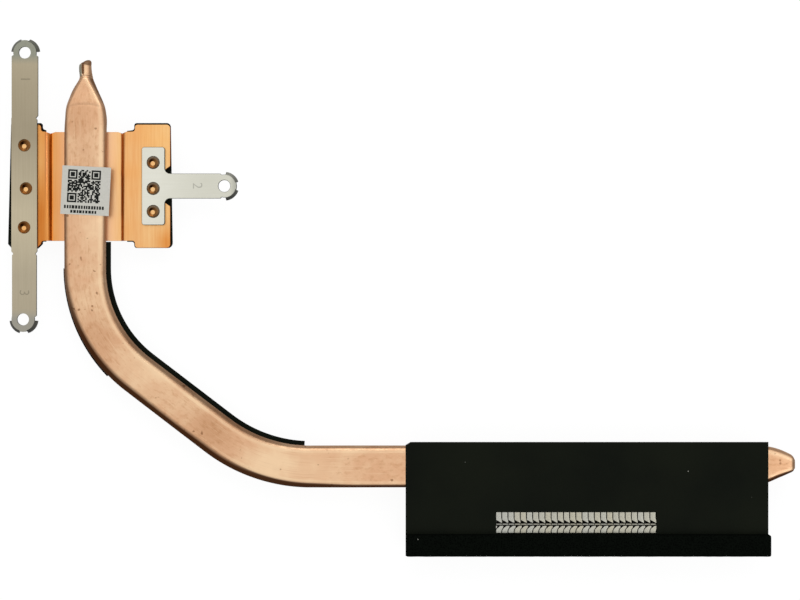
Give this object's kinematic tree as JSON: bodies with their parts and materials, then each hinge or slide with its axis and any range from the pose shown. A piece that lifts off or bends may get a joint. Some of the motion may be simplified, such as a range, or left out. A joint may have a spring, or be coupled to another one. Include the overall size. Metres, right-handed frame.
{
  "type": "laptop heatsink",
  "caption": "Flattened copper heat pipe joining a spreader plate with spring steel screw arms to a film-covered stack of folded aluminium fins, for cooling a laptop processor.",
  "frame": {"origin": "on the contact face of the spreader plate, straight under the middle of the heat pipe", "axes": "+Z away from the processor, -Y along the pipe as it leaves the plate, +X along the pipe's run through the fins"},
  "size_m": [0.1581, 0.1036, 0.0081],
  "materials": {
    "pipe_copper": "drawn copper tube, pressed flat, satin",
    "plate_copper": "rolled copper sheet, stamped, satin",
    "spring_steel": "rolled spring steel strip, satin",
    "fin_aluminium": "rolled aluminium sheet, folded",
    "black_film": "black polyester film, matt",
    "black_foam": "black open-cell foam",
    "label_paper": "off-white sticker, printed"
  },
  "bodies": {
    "root": {"heat_pipe": "pipe_copper", "spreader_plate": "plate_copper", "left_spring_arm": "spring_steel", "right_spring_arm": "spring_steel", "fin_stack": "fin_aluminium", "fin_cover_film": "black_film", "outlet_foam_strip": "black_foam", "pipe_insulation_strip": "black_film", "left_wing_film": "black_film", "right_wing_film": "black_film", "label": "label_paper"}
  },
  "joints": []
}
